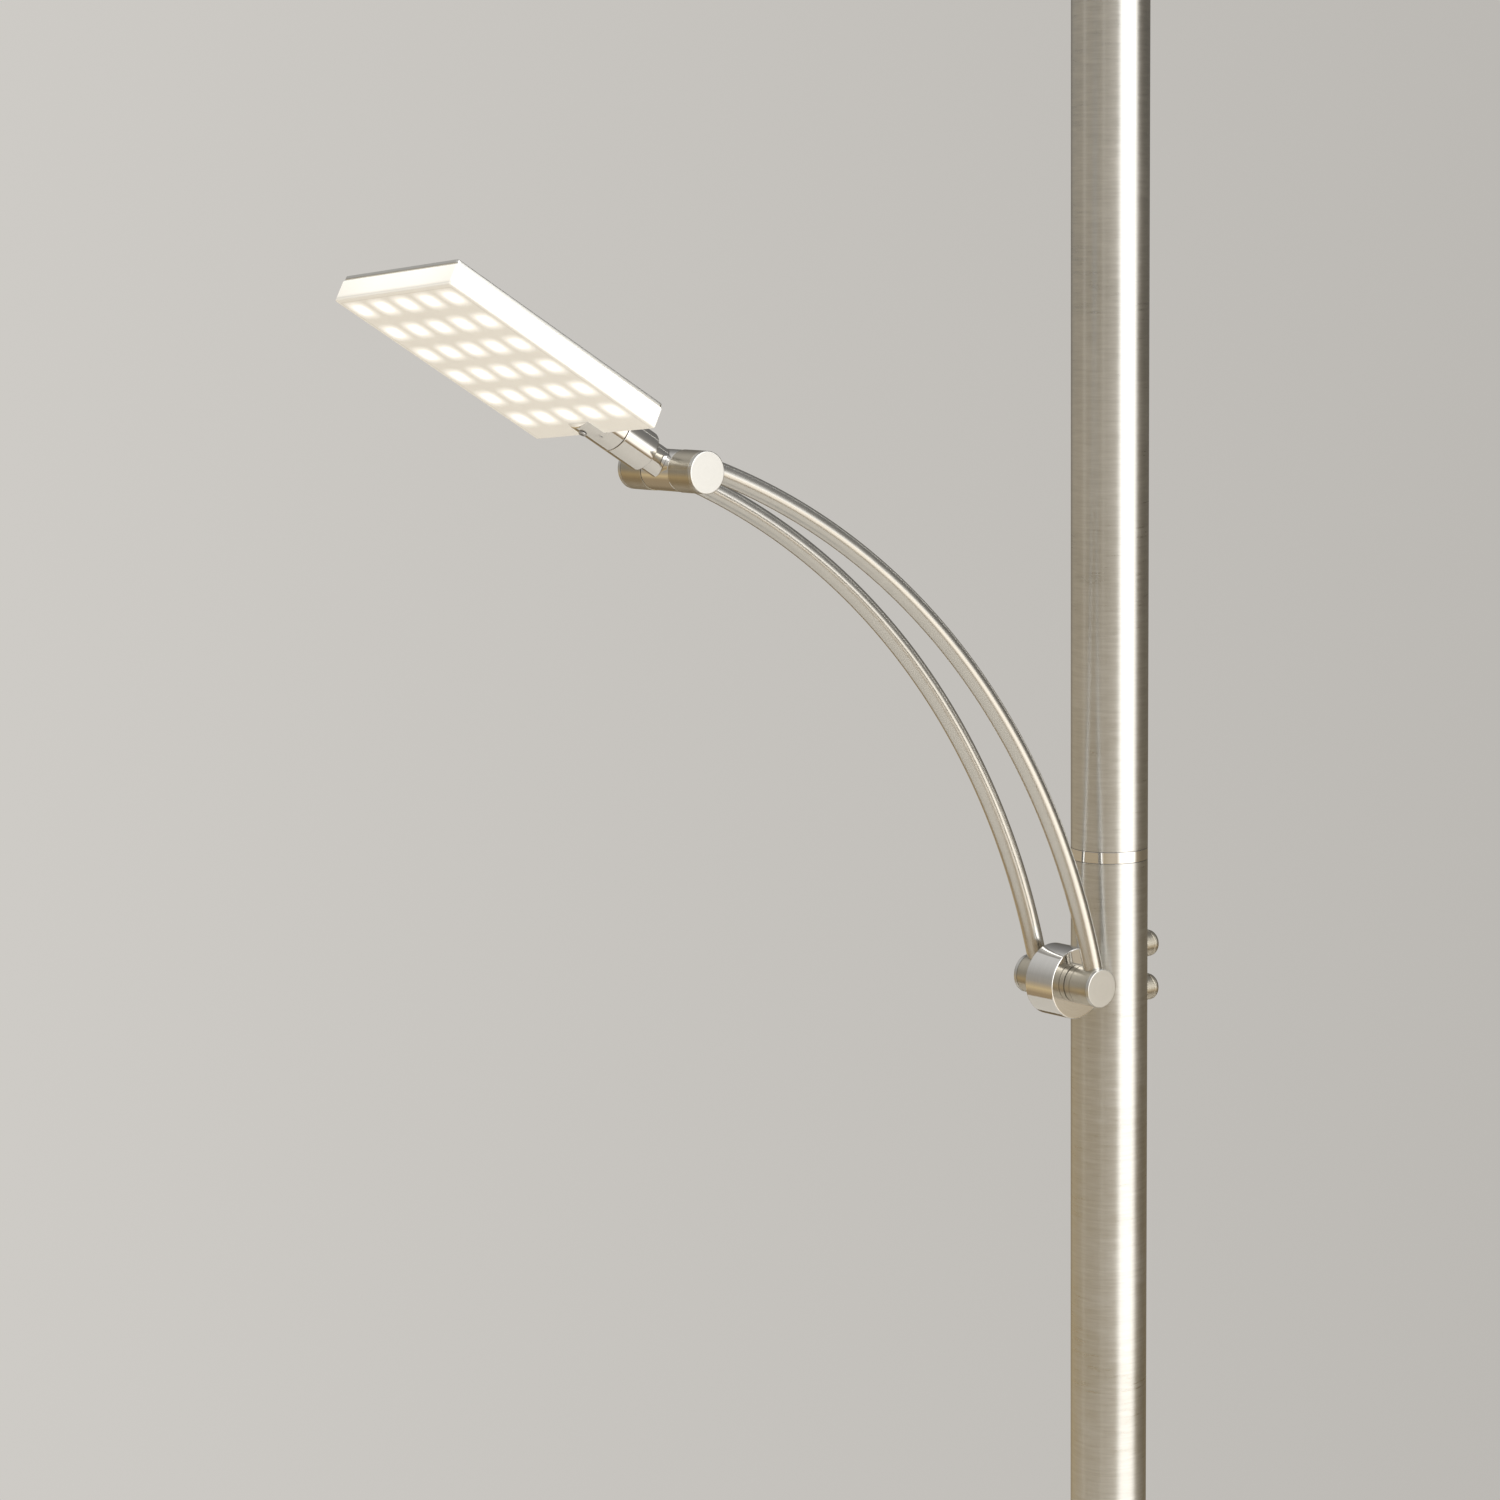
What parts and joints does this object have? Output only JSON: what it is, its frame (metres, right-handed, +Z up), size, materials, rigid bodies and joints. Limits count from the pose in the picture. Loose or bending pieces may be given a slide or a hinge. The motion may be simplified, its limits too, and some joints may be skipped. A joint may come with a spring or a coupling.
{
  "type": "adjustable arm floor lamp",
  "caption": "Free-standing uplighter on a straight metal pole with a round weighted base, and a curved rod arm that carries a tilting, swivelling flat LED reading head.",
  "frame": {"origin": "centre of the base's underside, on the floor and on the pole's axis", "axes": "+Z up along the pole, the arm reaches towards -X, its crossbars lie along Y"},
  "size_m": [0.5832, 0.28, 1.8],
  "materials": {
    "brushed_nickel": "circumferentially brushed nickel plate",
    "satin_nickel": "satin nickel plate",
    "polished_chrome": "polished chrome plate",
    "plain_steel": "plain zinc-plated steel",
    "cast_weight": "black painted casting",
    "felt": "black felt",
    "rubber": "black rubber",
    "white_plastic": "moulded white plastic",
    "cable_sheath": "smooth cable sheath",
    "clear_acrylic": "clear light-guide acrylic, lit",
    "opal_acrylic": "opal acrylic",
    "circuit_board": "white solder resist with LEDs",
    "sink_aluminium": "mill-finished aluminium"
  },
  "bodies": {
    "stand": {"arm_hub": "polished_chrome", "base_cover": "brushed_nickel", "base_pad": "felt", "base_screw_1": "plain_steel", "base_screw_2": "plain_steel", "base_screw_3": "plain_steel", "base_weight": "cast_weight", "dimmer_lower": "white_plastic", "dimmer_upper": "white_plastic", "dish": "brushed_nickel", "dish_bolt": "plain_steel", "dish_collar": "polished_chrome", "dish_nut": "plain_steel", "foot_collar": "polished_chrome", "heat_sink": "sink_aluminium", "hub_screw_lower": "plain_steel", "hub_screw_upper": "plain_steel", "hub_spacer_back": "brushed_nickel", "hub_spacer_front": "brushed_nickel", "joint_ring_high": "polished_chrome", "joint_ring_low": "polished_chrome", "lead_gland": "rubber", "led_driver": "white_plastic", "lens_ring": "brushed_nickel", "lower_tube": "brushed_nickel", "middle_tube": "brushed_nickel", "pole_foot": "plain_steel", "pole_lead": "cable_sheath", "pole_plug": "plain_steel", "splice_high": "plain_steel", "splice_low": "plain_steel", "uplight_board": "circuit_board", "uplight_lens": "opal_acrylic", "upper_tube": "brushed_nickel"},
    "arm": {"arm_rod_back": "satin_nickel", "arm_rod_front": "satin_nickel", "arm_wire": "cable_sheath", "lower_axle": "plain_steel", "lower_cap_back": "brushed_nickel", "lower_cap_front": "brushed_nickel", "lower_sleeve_back": "brushed_nickel", "lower_sleeve_front": "brushed_nickel", "upper_axle": "plain_steel", "upper_cap_back": "brushed_nickel", "upper_cap_front": "brushed_nickel", "upper_sleeve_back": "brushed_nickel", "upper_sleeve_front": "brushed_nickel"},
    "head_joint": {"head_knuckle": "polished_chrome", "swivel_socket": "polished_chrome"},
    "head": {"head_fork": "polished_chrome", "swivel_pin": "plain_steel", "swivel_ring": "white_plastic", "panel_plate": "brushed_nickel", "panel_diffuser": "clear_acrylic", "led_board": "circuit_board", "fork_screw_top": "plain_steel", "fork_screw_under": "plain_steel"},
    "upper_knob": {"knob_upper": "polished_chrome"},
    "lower_knob": {"knob_lower": "polished_chrome"}
  },
  "joints": [
    {"name": "arm_tilt", "type": "hinge", "parent": "stand", "child": "arm", "pos_m": [-0.0323, 0, 1.08], "axis": [0, 1, 0], "range_deg": [-75, 20]},
    {"name": "head_tilt", "type": "hinge", "parent": "arm", "child": "head_joint", "pos_m": [-0.28525, 0, 1.35723], "axis": [0, 1, 0], "range_deg": [-100, 45]},
    {"name": "head_swivel", "type": "hinge", "parent": "head_joint", "child": "head", "pos_m": [-0.28525, 0, 1.35723], "axis": [-0.8545, 0, 0.5195], "range_deg": [-90, 90]},
    {"name": "upper_dimmer", "type": "hinge", "parent": "stand", "child": "upper_knob", "pos_m": [0.0206, 0, 1.092], "axis": [1, 0, 0], "range_deg": [0, 270]},
    {"name": "lower_dimmer", "type": "hinge", "parent": "stand", "child": "lower_knob", "pos_m": [0.0206, 0, 1.0685], "axis": [1, 0, 0], "range_deg": [0, 270]}
  ]
}
